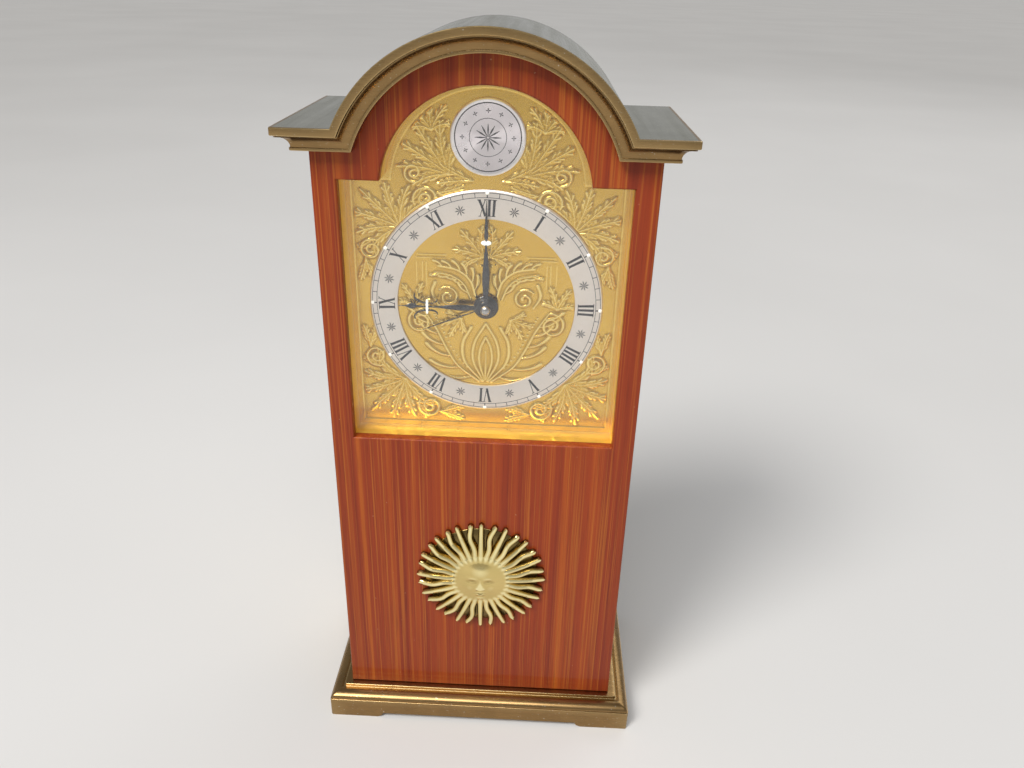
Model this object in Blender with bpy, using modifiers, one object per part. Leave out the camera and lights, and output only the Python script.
# Table clock in the form of a small longcase: brass case, wood front, wound alarm movement.
# Lengths are in metres. +Z is up, the dial faces -Y, the origin is under the middle of the clock.
# "Depth" is the distance behind the front of the wood panel, and runs along +Y.
import math

import bmesh
import bpy
from mathutils import Matrix, Vector

MM = 0.001

# Sides of round pieces, by how large they are, and steps of a quarter round
LARGE_ROUND = 40
MEDIUM_ROUND = 20
SMALL_ROUND = 16
ARBOR_ROUND = 12
PIN_ROUND = 8
ARCH_STEPS = 24
QUARTER_STEPS = 4
COIL_STEPS = 10

# Clearances
SEAT_GAP = 0.1 * MM       # between two faces that sit on each other
PIVOT_GAP = 0.12 * MM     # around a pivot or an arbor in its hole
PIPE_GAP = 0.07 * MM      # between the nested pipes of the hands
LAYER_GAP = 0.4 * MM      # between wheels that pass each other
HAND_GAP = 0.3 * MM       # between hands that pass each other

# Case
BODY_WIDTH = 60.0 * MM
SHELL_WALL = 1.2 * MM
SHELL_EDGE = 0.3 * MM     # brass edge that shows beside the wood panel
PANEL_THICK = 3.0 * MM
PANEL_LIP = 1.9 * MM      # thickness of the wood in front of the crystal
ROOF_THICK = 2.0 * MM
LUG_SIZE = 4.4 * MM
LUG_DEPTH = 5.8 * MM
LUG_INSET_Z = 7.0 * MM

# Front elevation, from the ground up
BASE_HEIGHT = 6.95 * MM
LOWER_PANEL = 65.5 * MM   # wood between the base and the dial opening
STILE = 4.6 * MM          # wood at each side of the dial opening
OPENING_HEIGHT = 50.5 * MM
OPENING_ARCH = 18.3 * MM  # radius of the opening's arch
ARCH_DROP = 2.4 * MM      # arch centre below the opening's shoulder
HEAD_RAIL = 5.5 * MM      # wood between the opening's shoulder and the cornice
ARCH_RAIL = 5.4 * MM      # wood between the opening's arch and the hood

# Base and cornice mouldings
BASE_REACH = 4.2 * MM
BASE_FASCIA = 4.9 * MM
BASE_LEDGE = 1.3 * MM
BASE_STEP = 0.65 * MM
BASE_FILLET = 0.15 * MM   # flat between the round and the fascia
FOOT_WIDTH = 10.0 * MM
FOOT_HEIGHT = 1.2 * MM
SIDE_FOOT_HEIGHT = 1.0 * MM
FOOT_CURVE = 2.0 * MM
CORNICE_HEIGHT = 3.62 * MM
CORNICE_REACH = 4.7 * MM
CORNICE_FASCIA = 1.3 * MM
CORNICE_STEP = 0.5 * MM
SOFFIT_REACH = 2.3 * MM
SOFFIT_FASCIA = 0.4 * MM
MITRE_STEP = 0.04 * MM    # step where two mouldings meet at a corner

# Dial, crystal and ornament
CRYSTAL_THICK = 0.85 * MM
CRYSTAL_LAP = 0.9 * MM
FRAME_DEPTH = 3.1 * MM
FRAME_LAP = 1.4 * MM
DIAL_THICK = 0.6 * MM
DIAL_RISE = 26.35 * MM    # dial centre above the opening's bottom
RING_OUTER = 22.0 * MM
RING_INNER = 16.7 * MM
RING_THICK = 0.4 * MM
MEDALLION_GAP = 2.35 * MM     # chapter ring to medallion
MEDALLION_MARGIN = 2.5 * MM   # medallion to the top of the opening
SUN_RADIUS = 13.8 * MM
SUN_ROOT = 10.6 * MM
SUN_FACE = 7.4 * MM
SUN_HEIGHT = 4.2 * MM
SUN_SHEET = 1.2 * MM
SUN_RISE = 32.8 * MM      # sun centre above the base
SUN_RAYS = 32

# Hands
HAND_THICK = 0.3 * MM
MINUTE_LENGTH = 20.5 * MM
HOUR_LENGTH = 16.4 * MM
ALARM_LENGTH = 13.0 * MM
MINUTE_WIDTH = 1.1 * MM
HOUR_WIDTH = 1.3 * MM
ALARM_WIDTH = 0.5 * MM
HUB_RIM = 0.65 * MM
HOUR_TURN = 90.0          # degrees anticlockwise from twelve
ALARM_TURN = 112.5
# Blades, as pairs: share of the length, half width as a share of the width
MINUTE_BLADE = ((0.45, 0.35), (0.47, 0.7), (0.5, 0.7), (0.52, 0.35), (0.75, 0.45))
HOUR_BLADE = ((0.38, 0.35), (0.44, 1.3), (0.5, 1.5), (0.56, 0.5), (0.66, 0.8), (0.74, 0.25))
ALARM_BLADE = ((0.9, 0.4),)
CENTRE_ARBOR = 0.5 * MM   # in front of the front plate
CENTRE_BODY = 0.85 * MM   # between the plates
PIPE_WALL = 0.3 * MM
TIP_LENGTH = 0.35 * MM

# Movement frame
PLATE_THICK = 1.5 * MM
PLATE_MARGIN = 1.6 * MM
PLATE_SPACE = 0.7 * MM    # plate to the nearest wheel
REAR_SPACE = 2.1 * MM     # centre wheel to the rear plate
LID_SPACE = 0.8 * MM      # barrel lid to the centre wheel
TEETH_SPACE = 0.8 * MM    # barrel teeth to the third wheel
FOURTH_SPACE = 1.6 * MM   # third wheel to the fourth wheel
PILLAR_RADIUS = 1.3 * MM
PILLAR_SPIGOT = 0.8 * MM
PILLAR_ANGLES = (8.0, 62.0, 165.0, 285.0)
PILLAR_INSET = 2.6 * MM
DIAL_FOOT_RADIUS = 0.9 * MM
DIAL_FOOT_ANGLES = (135.0, 315.0)
DIAL_FOOT_DISTANCE = 19.0 * MM
COVER_THICK = 1.0 * MM
BACK_SPACE = 6.5 * MM     # rear plate to the back cover

# Gear teeth: heights are in modules, widths are shares of the pitch. Wheel teeth are pointed
WHEEL_TOOTH = {"tip": 0.8, "root": 1.2}
PINION_TOOTH = {"tip": 0.7, "root": 1.2, "tip_share": 0.2, "root_share": 0.5}
LARGE_TEETH = 36
SMALL_TEETH = 6
FOURTH_TEETH = 30
CANNON_TEETH = 10
MINUTE_TEETH = 30
MINUTE_PINION_TEETH = 8
HOUR_TEETH = 32
ESCAPE_TEETH = 15
ESCAPE_LEAN = 0.3         # place of the tooth's root, as a share of the pitch
RATCHET_TEETH = 14
RATCHET_LEAN = 0.85
STAR_TEETH = 12
STAR_LEAN = 0.5
BARREL_MODULE = 0.57 * MM
CENTRE_MODULE = 0.51 * MM
THIRD_MODULE = 0.40 * MM
FOURTH_MODULE = 0.35 * MM
MOTION_MODULE = 0.36 * MM
ALARM_DIAL_MODULE = 0.53 * MM
ALARM_MODULE = 0.47 * MM

# Where the arbors stand, as angles in degrees anticlockwise from three o'clock
BARREL_ANGLE = 205.0
THIRD_ANGLE = 100.0
FOURTH_ANGLE = 175.0
ESCAPE_ANGLE = 75.0
PALLET_ANGLE = 20.0
BALANCE_ANGLE = -5.0
ALARM_SET_ANGLE = 50.0
SET_ANGLE = 4.6
SET_DISTANCE = 12.54 * MM
ALARM_BARREL_ANGLE = -50.7
ALARM_BARREL_DISTANCE = 14.2 * MM
STAR_ANGLE = 200.0
HAMMER_ANGLE = 216.0
HAMMER_DISTANCE = 6.5 * MM
PALLET_DISTANCE = 5.2 * MM
BALANCE_DISTANCE = 5.5 * MM

# Wheels and arbors
WHEEL_THICK = 0.9 * MM
PINION_OVERLAP = 0.3 * MM  # pinion is longer than its wheel by this at each end
ARBOR_RADIUS = 0.5 * MM
PIVOT_RADIUS = 0.35 * MM
STUD_RADIUS = 0.6 * MM
SPOKES = 4
SPOKE_WIDTH = 1.1 * MM
WHEEL_RIM = 1.2 * MM
WHEEL_HUB = 2.4 * MM
DRUM_DEPTH = 6.2 * MM
DRUM_WALL = 0.6 * MM
DRUM_TOOTH_ROOM = 0.4 * MM  # drum wall inside the tooth roots
DRUM_FLOOR = 0.8 * MM
DRUM_TEETH_DEPTH = 1.4 * MM
LID_THICK = 0.6 * MM
WINDING_ARBOR = 1.5 * MM
WINDING_PIVOT = 0.9 * MM
WINDING_TAIL = 1.2 * MM
SPRING_TURNS = 4
MAINSPRING_STRIP = 0.25 * MM
SPRING_ROOM = 0.4 * MM
RATCHET_RADIUS = 3.6 * MM
RATCHET_DEPTH = 0.7 * MM
RATCHET_THICK = 0.8 * MM
CLICK_LENGTH = 3.4 * MM
CLICK_WIDTH = 1.2 * MM
CLICK_NOSE = (0.12 * MM, -0.42 * MM)  # right and left side of the nose
CLICK_GAP = 0.3 * MM
CLICK_ANGLE = -40.0       # click's pivot, seen from its ratchet
CLICK_LEAN = 36.0         # click's nose, turned in towards the ratchet
ESCAPE_RADIUS = 4.0 * MM
ESCAPE_TOOTH = 0.8 * MM
LEVER_THICK = 0.8 * MM
LEVER_WIDTH = 0.8 * MM
PALLET_HUB = 0.9 * MM
PALLET_REACH = 1.2 * MM   # pallet faces, from the lever's pivot towards the escape wheel
PALLET_SPREAD = 2.7 * MM
PALLET_WIDTH = 0.6 * MM
FORK_GAP = 0.5 * MM
STAFF_RADIUS = 0.45 * MM
BALANCE_RADIUS = 5.5 * MM
BALANCE_RIM = 0.8 * MM
BALANCE_THICK = 0.8 * MM
HAIRSPRING_OUTER = 3.2 * MM
HAIRSPRING_INNER = 0.75 * MM
HAIRSPRING_STRIP = 0.12 * MM
HAIRSPRING_DEPTH = 0.5 * MM
COCK_LENGTH = 9.5 * MM
COCK_WIDTH = 3.2 * MM
COCK_FOOT = 1.5 * MM
COCK_THICK = 1.0 * MM
COCK_BOSS = 0.9 * MM
STUD_PIN = 0.3 * MM
REGULATOR_LENGTH = 6.5 * MM
REGULATOR_RING = 1.7 * MM
REGULATOR_PIN = 0.4 * MM
REGULATOR_ARM = 1.0 * MM
REGULATOR_THICK = 0.5 * MM
REGULATOR_SWING = 20.0
STAR_RADIUS = 3.0 * MM
STAR_ROOT = 2.0 * MM
HAMMER_DROP = 11.0 * MM
HAMMER_LEAN = 22.4        # degrees from straight down
HAMMER_WIDTH = 1.2 * MM
HAMMER_HEAD = 1.6 * MM
HAMMER_HEAD_DEPTH = 1.9 * MM
HAMMER_GAP = 1.0 * MM
HAMMER_TAIL_GAP = 0.6 * MM
PLUNGER_DROP = 8.8 * MM   # plunger's place along the hammer arm
GONG_RADIUS = 1.2 * MM

# Back controls
CONTROL_GAP = 0.3 * MM    # back cover to a key or knob
KNOB_RADIUS = 3.2 * MM
KNOB_LENGTH = 4.1 * MM
KNOB_NECK = 1.6 * MM
KNOB_NECK_LENGTH = 1.2 * MM
KNOB_BEVEL = 0.5 * MM
KNOB_SOCKET = 3.1 * MM
SET_SHAFT = 0.7 * MM
KEY_HUB_RADIUS = 2.2 * MM
KEY_SOCKET = 1.1 * MM
KEY_EYE = 0.9 * MM
KEY_PIN = 0.35 * MM
KEY_TONGUE = 1.6 * MM
KEY_NECK = 1.4 * MM
KEY_THICK = 1.0 * MM
KEY_BOW_RADIUS = 3.2 * MM
KEY_BOW_HOLE = 1.7 * MM
KEY_BOW_REACH = 5.2 * MM
BUTTON_RADIUS = 2.2 * MM
BUTTON_THICK = 1.4 * MM
BUTTON_TRAVEL = 2.5 * MM
PLUNGER_RADIUS = 0.8 * MM
PLUNGER_GAP = 0.35 * MM
SCREW_HEAD = 1.7 * MM
SCREW_HEAD_THICK = 0.9 * MM
SCREW_SLOT = 0.4 * MM
SCREW_SHANK = 0.8 * MM
SCREW_LENGTH = 5.0 * MM
SOUND_SLOT_WIDTH = 20.0 * MM   # opening in the back cover that lets the alarm be heard
SOUND_SLOT_HEIGHT = 5.0 * MM
SOUND_SLOT_RISE = 38.0 * MM    # slot's middle above the base

# Heights worked out from the front elevation
OPENING_BOTTOM_Z = BASE_HEIGHT + LOWER_PANEL
OPENING_SHOULDER_Z = OPENING_BOTTOM_Z + OPENING_HEIGHT
ARCH_Z = OPENING_SHOULDER_Z - ARCH_DROP
SOFFIT_Z = OPENING_SHOULDER_Z + HEAD_RAIL
CORNICE_Z = SOFFIT_Z + CORNICE_HEIGHT
CASE_SHOULDER_Z = CORNICE_Z - ROOF_THICK
DIAL_Z = OPENING_BOTTOM_Z + DIAL_RISE
MEDALLION_BOTTOM_Z = DIAL_Z + RING_OUTER + MEDALLION_GAP
MEDALLION_TOP_Z = ARCH_Z + OPENING_ARCH - MEDALLION_MARGIN
MEDALLION_Z = (MEDALLION_BOTTOM_Z + MEDALLION_TOP_Z) / 2
MEDALLION_RADIUS = (MEDALLION_TOP_Z - MEDALLION_BOTTOM_Z) / 2
SUN_Z = BASE_HEIGHT + SUN_RISE
OPENING_HALF = BODY_WIDTH / 2 - STILE
SOFFIT_ARCH = OPENING_ARCH + ARCH_RAIL
HOOD_ARCH = SOFFIT_ARCH + CORNICE_HEIGHT
CASE_ARCH = HOOD_ARCH - ROOF_THICK

# Depths worked out from the stack of pieces, front to back
CRYSTAL_D = PANEL_LIP + SEAT_GAP
FRAME_D = PANEL_THICK + SEAT_GAP
DIAL_D = FRAME_D + FRAME_DEPTH + SEAT_GAP
DIAL_BACK_D = DIAL_D + DIAL_THICK
RING_D = DIAL_D - SEAT_GAP - RING_THICK
ALARM_HAND_D = RING_D - HAND_GAP - HAND_THICK
HOUR_HAND_D = ALARM_HAND_D - HAND_GAP - HAND_THICK
MINUTE_HAND_D = HOUR_HAND_D - HAND_GAP - HAND_THICK
ALARM_WHEEL_D = DIAL_BACK_D + PLATE_SPACE
HOUR_WHEEL_D = ALARM_WHEEL_D + WHEEL_THICK + LAYER_GAP
MINUTE_WHEEL_D = HOUR_WHEEL_D + WHEEL_THICK + LAYER_GAP
FRONT_PLATE_D = MINUTE_WHEEL_D + WHEEL_THICK + PLATE_SPACE
TRAIN_D = FRONT_PLATE_D + PLATE_THICK
BARREL_D = TRAIN_D + PLATE_SPACE
LID_D = BARREL_D + DRUM_DEPTH + SEAT_GAP
CENTRE_WHEEL_D = LID_D + LID_THICK + LID_SPACE
THIRD_WHEEL_D = BARREL_D + DRUM_TEETH_DEPTH + TEETH_SPACE
FOURTH_WHEEL_D = THIRD_WHEEL_D + WHEEL_THICK + FOURTH_SPACE
ESCAPE_WHEEL_D = CENTRE_WHEEL_D
REAR_PLATE_D = CENTRE_WHEEL_D + WHEEL_THICK + REAR_SPACE
REAR_FACE_D = REAR_PLATE_D + PLATE_THICK
RATCHET_D = REAR_FACE_D + LAYER_GAP
BALANCE_D = REAR_FACE_D + PLATE_SPACE
HAIRSPRING_D = BALANCE_D + BALANCE_THICK + LAYER_GAP
COCK_D = HAIRSPRING_D + HAIRSPRING_DEPTH + LAYER_GAP
REGULATOR_D = COCK_D + COCK_THICK + SEAT_GAP
HAMMER_D = LID_D + LAYER_GAP
COVER_D = REAR_FACE_D + BACK_SPACE
COVER_BACK_D = COVER_D + COVER_THICK
CASE_REAR_D = COVER_BACK_D + SEAT_GAP
CONTROL_D = COVER_BACK_D + CONTROL_GAP
KEY_PIVOT_D = CONTROL_D + 2 * KEY_SOCKET + KEY_PIN
KEY_REAR_D = KEY_PIVOT_D + KEY_EYE
KNOB_REAR_D = CONTROL_D + KNOB_LENGTH
BUTTON_D = CONTROL_D + BUTTON_TRAVEL
BUTTON_REAR_D = BUTTON_D + BUTTON_THICK
BACK_REACH = max(KNOB_REAR_D, KEY_REAR_D, BUTTON_REAR_D)
PANEL_Y = (CORNICE_REACH - BACK_REACH) / 2

# Radii of the nested pipes that carry the hands
CANNON_BORE = CENTRE_ARBOR + PIPE_GAP
CANNON_PIPE = CANNON_BORE + PIPE_WALL
HOUR_BORE = CANNON_PIPE + PIPE_GAP
HOUR_PIPE = HOUR_BORE + PIPE_WALL
ALARM_BORE = HOUR_PIPE + PIPE_GAP
ALARM_PIPE = ALARM_BORE + PIPE_WALL
DIAL_HOLE = ALARM_PIPE + 2 * PIPE_GAP

BRASS = {"colour": (0.62, 0.45, 0.18), "roughness": 0.32, "metallic": 1.0}
CASE_BRASS = {"colour": (0.40, 0.30, 0.14), "roughness": 0.35, "metallic": 1.0}
GILT = {"colour": (0.80, 0.57, 0.18), "roughness": 0.28, "metallic": 1.0}
WOOD = {"colour": (0.36, 0.09, 0.03), "roughness": 0.25, "metallic": 0.0}
SILVER = {"colour": (0.72, 0.70, 0.66), "roughness": 0.35, "metallic": 1.0}
BLACK = {"colour": (0.02, 0.02, 0.02), "roughness": 0.35, "metallic": 0.0}
STEEL = {"colour": (0.55, 0.56, 0.58), "roughness": 0.3, "metallic": 1.0}
BLUED = {"colour": (0.10, 0.12, 0.20), "roughness": 0.3, "metallic": 1.0}
CLEAR = {"colour": (0.95, 0.95, 0.95), "roughness": 0.03, "metallic": 0.0}


def clear_scene():
    for old in list(bpy.data.objects):
        bpy.data.objects.remove(old, do_unlink=True)


def make_collection(name):
    collection = bpy.data.collections.new(name)
    bpy.context.scene.collection.children.link(collection)
    return collection


clear_scene()
CLOCK = make_collection("table_clock")
CUTTERS = make_collection("table_clock_cutters")


# Points in the front elevation: x to the right, z up
def polar(distance, degrees, start=(0.0, 0.0)):
    angle = math.radians(degrees)
    return (start[0] + distance * math.cos(angle), start[1] + distance * math.sin(angle))


def circle(radius, steps, centre=(0.0, 0.0)):
    return [polar(radius, 360.0 * i / steps, centre) for i in range(steps)]


def arc(radius, start, end, steps, centre=(0.0, 0.0)):
    return [polar(radius, start + (end - start) * i / steps, centre) for i in range(steps + 1)]


def turn_points(points, degrees):
    angle = math.radians(degrees)
    cosine = math.cos(angle)
    sine = math.sin(angle)
    return [(x * cosine - z * sine, x * sine + z * cosine) for x, z in points]


def arched(grow=0.0):
    # outline of the case, or of a piece larger than it all round by grow
    half = BODY_WIDTH / 2 + grow
    bottom = BASE_HEIGHT + SEAT_GAP - grow
    return arch_outline(half, bottom, CASE_SHOULDER_Z + grow, CASE_ARCH + grow)


def opening(grow=0.0):
    # outline of the dial opening, or of a piece larger than it all round by grow
    shoulder = OPENING_SHOULDER_Z + grow
    return arch_outline(OPENING_HALF + grow, OPENING_BOTTOM_Z - grow, shoulder, OPENING_ARCH + grow)


def arch_outline(half, bottom, shoulder, radius):
    start = math.degrees(math.asin((shoulder - ARCH_Z) / radius))
    curve = arc(radius, start, 180.0 - start, ARCH_STEPS, (0.0, ARCH_Z))
    return [(-half, bottom), (half, bottom), (half, shoulder)] + curve + [(-half, shoulder)]


def wheel_points(teeth, module, phase):
    pitch = teeth * module / 2
    step = 360.0 / teeth
    points = []
    for i in range(teeth):
        points.append(polar(pitch + WHEEL_TOOTH["tip"] * module, phase + i * step))
        points.append(polar(pitch - WHEEL_TOOTH["root"] * module, phase + (i + 0.5) * step))
    return points


def pinion_points(teeth, module, phase):
    pitch = teeth * module / 2
    step = 360.0 / teeth
    tip = pitch + PINION_TOOTH["tip"] * module
    root = pitch - PINION_TOOTH["root"] * module
    tip_half = PINION_TOOTH["tip_share"] * step / 2
    root_half = PINION_TOOTH["root_share"] * step / 2
    points = []
    for i in range(teeth):
        middle = phase + i * step
        points.append(polar(root, middle - root_half))
        points.append(polar(tip, middle - tip_half))
        points.append(polar(tip, middle + tip_half))
        points.append(polar(root, middle + root_half))
    return points


def mesh_phase(teeth, phase, direction, other_teeth):
    # phase of the gear that lies in this direction, so that its gap meets the first gear's tooth
    step = 360.0 / teeth
    offset = (phase - direction + step / 2) % step - step / 2
    other_step = 360.0 / other_teeth
    return direction + 180.0 - offset * teeth / other_teeth + other_step / 2


def saw_points(teeth, tip, root, lean):
    points = []
    for i in range(teeth):
        angle = 360.0 * i / teeth
        points.append(polar(tip, angle))
        points.append(polar(root, angle + lean * 360.0 / teeth))
    return points


def spiral_points(inner, outer, turns, strip, end_angle):
    count = turns * COIL_STEPS
    outside = []
    inside = []
    for i in range(count + 1):
        share = i / count
        radius = inner + (outer - inner) * share
        angle = end_angle - 360.0 * turns * (1.0 - share)
        outside.append(polar(radius, angle))
        inside.append(polar(radius - strip, angle))
    return outside + inside[::-1]


def paddle(radius, half, blade, turn):
    # disc with a blade that points to twelve and is then turned. The blade runs up its right side and
    # down its left
    lean = math.degrees(math.asin(half / radius))
    return turn_points(arc(radius, 90.0 + lean, 450.0 - lean, ARBOR_ROUND) + blade, turn)


def spoke_windows(inner, outer):
    windows = []
    for i in range(SPOKES):
        middle = 360.0 * (i + 0.5) / SPOKES
        outer_half = 180.0 / SPOKES - math.degrees(SPOKE_WIDTH / 2 / outer)
        inner_half = 180.0 / SPOKES - math.degrees(SPOKE_WIDTH / 2 / inner)
        outside = arc(outer, middle - outer_half, middle + outer_half, QUARTER_STEPS // 2)
        inside = arc(inner, middle + inner_half, middle - inner_half, 1)
        windows.append(outside + inside)
    return windows


# Solids. Each is an object whose local y is the depth behind the panel's front
def settle(mesh):
    work = bmesh.new()
    work.from_mesh(mesh)
    bmesh.ops.remove_doubles(work, verts=work.verts, dist=0.000001)
    bmesh.ops.recalc_face_normals(work, faces=work.faces)
    work.to_mesh(mesh)
    work.free()


def place(name, mesh, at):
    solid = bpy.data.objects.new(name, mesh)
    solid.location = Vector((at[0], PANEL_Y, at[1]))
    CUTTERS.objects.link(solid)
    solid.hide_render = True
    solid.display_type = 'WIRE'
    return solid


def bake(source, matrix):
    # plain mesh of a curve, or of an object with a modifier
    CUTTERS.objects.link(source)
    bpy.context.view_layer.update()
    graph = bpy.context.evaluated_depsgraph_get()
    mesh = bpy.data.meshes.new_from_object(source.evaluated_get(graph))
    mesh.transform(matrix)
    bpy.data.objects.remove(source, do_unlink=True)
    settle(mesh)
    return mesh


def plate(name, outline, front, back, at=(0.0, 0.0), holes=()):
    # flat piece with an outline in the front elevation
    curve = bpy.data.curves.new(name, 'CURVE')
    curve.dimensions = '2D'
    curve.fill_mode = 'BOTH'
    curve.extrude = (back - front) / 2
    for loop in (outline, *holes):
        spline = curve.splines.new('POLY')
        spline.points.add(len(loop) - 1)
        spline.use_cyclic_u = True
        for point, (x, z) in zip(spline.points, loop):
            point.co = (x, z, 0.0, 1.0)
    stand = Matrix.Translation((0.0, (front + back) / 2, 0.0)) @ Matrix.Rotation(math.pi / 2, 4, 'X')
    return place(name, bake(bpy.data.objects.new(name, curve), stand), at)


def turned(name, profile, at=(0.0, 0.0), steps=SMALL_ROUND, bored=False):
    # piece turned about an axis that runs from front to back; profile points are radius and depth
    mesh = bpy.data.meshes.new(name)
    count = len(profile)
    edges = [(i, i + 1) for i in range(count - 1)]
    if bored:
        edges.append((count - 1, 0))
    mesh.from_pydata([(radius, 0.0, depth) for radius, depth in profile], edges, [])
    blank = bpy.data.objects.new(name, mesh)
    screw = blank.modifiers.new("turn", 'SCREW')
    screw.steps = steps
    screw.render_steps = steps
    screw.use_merge_vertices = True
    screw.merge_threshold = 0.000001
    lay = Matrix.Rotation(-math.pi / 2, 4, 'X')
    return place(name, bake(blank, lay), at)


def rod(name, radius, front, back, at=(0.0, 0.0), steps=ARBOR_ROUND):
    work = bmesh.new()
    depth = back - front
    lay = Matrix.Translation((0.0, (front + back) / 2, 0.0)) @ Matrix.Rotation(math.pi / 2, 4, 'X')
    bmesh.ops.create_cone(work, cap_ends=True, segments=steps, radius1=radius, radius2=radius,
                          depth=depth, matrix=lay)
    mesh = bpy.data.meshes.new(name)
    work.to_mesh(mesh)
    work.free()
    settle(mesh)
    return place(name, mesh, at)


def block(name, low, high, at=(0.0, 0.0)):
    # box between two corners given as x, depth, z
    size = [b - a for a, b in zip(low, high)]
    middle = [(a + b) / 2 for a, b in zip(low, high)]
    work = bmesh.new()
    shape = Matrix.Translation(middle) @ Matrix.Diagonal((*size, 1.0))
    bmesh.ops.create_cube(work, size=1.0, matrix=shape)
    mesh = bpy.data.meshes.new(name)
    work.to_mesh(mesh)
    work.free()
    return place(name, mesh, at)


def combine(solid, operation, others):
    for other in others:
        step = solid.modifiers.new(other.name, 'BOOLEAN')
        step.operation = operation
        step.solver = 'EXACT'
        step.object = other
    return solid


def cut(solid, *others):
    return combine(solid, 'DIFFERENCE', others)


def join(solid, *others):
    return combine(solid, 'UNION', others)


def finish(solid, look):
    # a finished piece leaves the cutters and gets its own material
    CUTTERS.objects.unlink(solid)
    CLOCK.objects.link(solid)
    solid.hide_render = False
    solid.display_type = 'TEXTURED'
    material = bpy.data.materials.new(solid.name)
    material.use_nodes = True
    shader = material.node_tree.nodes["Principled BSDF"]
    shader.inputs["Base Color"].default_value = (*look["colour"], 1.0)
    shader.inputs["Roughness"].default_value = look["roughness"]
    shader.inputs["Metallic"].default_value = look["metallic"]
    solid.data.materials.append(material)
    solid.data.shade_smooth()
    solid.data.set_sharp_from_angle(angle=math.radians(30.0))
    return solid


# Where the arbors stand, relative to the dial centre
def gear_distance(teeth, other_teeth, module):
    return (teeth + other_teeth) * module / 2


CENTRE = (0.0, 0.0)
BARREL = polar(gear_distance(LARGE_TEETH, SMALL_TEETH, BARREL_MODULE), BARREL_ANGLE)
THIRD = polar(gear_distance(LARGE_TEETH, SMALL_TEETH, CENTRE_MODULE), THIRD_ANGLE)
FOURTH = polar(gear_distance(LARGE_TEETH, SMALL_TEETH, THIRD_MODULE), FOURTH_ANGLE, THIRD)
ESCAPE = polar(gear_distance(FOURTH_TEETH, SMALL_TEETH, FOURTH_MODULE), ESCAPE_ANGLE, FOURTH)
PALLET = polar(PALLET_DISTANCE, PALLET_ANGLE, ESCAPE)
BALANCE = polar(BALANCE_DISTANCE, BALANCE_ANGLE, PALLET)
ALARM_BARREL = polar(ALARM_BARREL_DISTANCE, ALARM_BARREL_ANGLE)
STAR = polar(gear_distance(LARGE_TEETH, SMALL_TEETH, ALARM_MODULE), STAR_ANGLE, ALARM_BARREL)
HAMMER = polar(HAMMER_DISTANCE, HAMMER_ANGLE, STAR)
ALARM_SET = polar(gear_distance(LARGE_TEETH, SMALL_TEETH, ALARM_DIAL_MODULE), ALARM_SET_ANGLE)
SET = polar(SET_DISTANCE, SET_ANGLE)
MINUTE_DISTANCE = gear_distance(CANNON_TEETH, MINUTE_TEETH, MOTION_MODULE)
MINUTE_LEAN = math.degrees(math.acos(SET_DISTANCE / 2 / MINUTE_DISTANCE))
MINUTE = polar(MINUTE_DISTANCE, SET_ANGLE - MINUTE_LEAN)
HOUR_MODULE = 2 * MINUTE_DISTANCE / (MINUTE_PINION_TEETH + HOUR_TEETH)

HAMMER_HEAD_AT = polar(HAMMER_DROP, HAMMER_LEAN - 90.0, HAMMER)
GONG = polar(HAMMER_HEAD + HAMMER_GAP + GONG_RADIUS, HAMMER_LEAN, HAMMER_HEAD_AT)
PLUNGER_SIDE = HAMMER_WIDTH / 2 + PLUNGER_GAP + PLUNGER_RADIUS
PLUNGER = polar(PLUNGER_SIDE, HAMMER_LEAN + 180.0, polar(PLUNGER_DROP, HAMMER_LEAN - 90.0, HAMMER))
COCK_ANGLE = BALANCE_ANGLE
COCK_FOOT_AT = polar(COCK_LENGTH, COCK_ANGLE, BALANCE)
BARREL_TIP = LARGE_TEETH * BARREL_MODULE / 2 + WHEEL_TOOTH["tip"] * BARREL_MODULE
PLATE_RADIUS = math.hypot(*BARREL) + BARREL_TIP + PLATE_MARGIN
PILLAR_DISTANCE = PLATE_RADIUS - PILLAR_INSET


def on_dial(point):
    # axis of a piece that is placed from the dial centre
    return (point[0], DIAL_Z + point[1])


def direction(start, end):
    return math.degrees(math.atan2(end[1] - start[1], end[0] - start[0]))


# Phases of the gears, so that each pair is in mesh at rest
BARREL_PHASE = 0.0
CENTRE_PINION_PHASE = mesh_phase(LARGE_TEETH, BARREL_PHASE, direction(BARREL, CENTRE), SMALL_TEETH)
CENTRE_PHASE = 0.0
THIRD_PINION_PHASE = mesh_phase(LARGE_TEETH, CENTRE_PHASE, direction(CENTRE, THIRD), SMALL_TEETH)
THIRD_PHASE = 0.0
FOURTH_PINION_PHASE = mesh_phase(LARGE_TEETH, THIRD_PHASE, direction(THIRD, FOURTH), SMALL_TEETH)
FOURTH_PHASE = 0.0
ESCAPE_PINION_PHASE = mesh_phase(FOURTH_TEETH, FOURTH_PHASE, direction(FOURTH, ESCAPE), SMALL_TEETH)
MINUTE_PHASE = 0.0
CANNON_PHASE = mesh_phase(MINUTE_TEETH, MINUTE_PHASE, direction(MINUTE, CENTRE), CANNON_TEETH)
SET_PHASE = mesh_phase(MINUTE_TEETH, MINUTE_PHASE, direction(MINUTE, SET), CANNON_TEETH)
HOUR_PHASE = 0.0
MINUTE_PINION_PHASE = mesh_phase(HOUR_TEETH, HOUR_PHASE, direction(CENTRE, MINUTE), MINUTE_PINION_TEETH)
ALARM_DIAL_PHASE = 0.0
ALARM_SET_PHASE = mesh_phase(LARGE_TEETH, ALARM_DIAL_PHASE, direction(CENTRE, ALARM_SET), SMALL_TEETH)
ALARM_BARREL_PHASE = 0.0
STAR_PINION_PHASE = mesh_phase(LARGE_TEETH, ALARM_BARREL_PHASE, direction(ALARM_BARREL, STAR), SMALL_TEETH)


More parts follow.
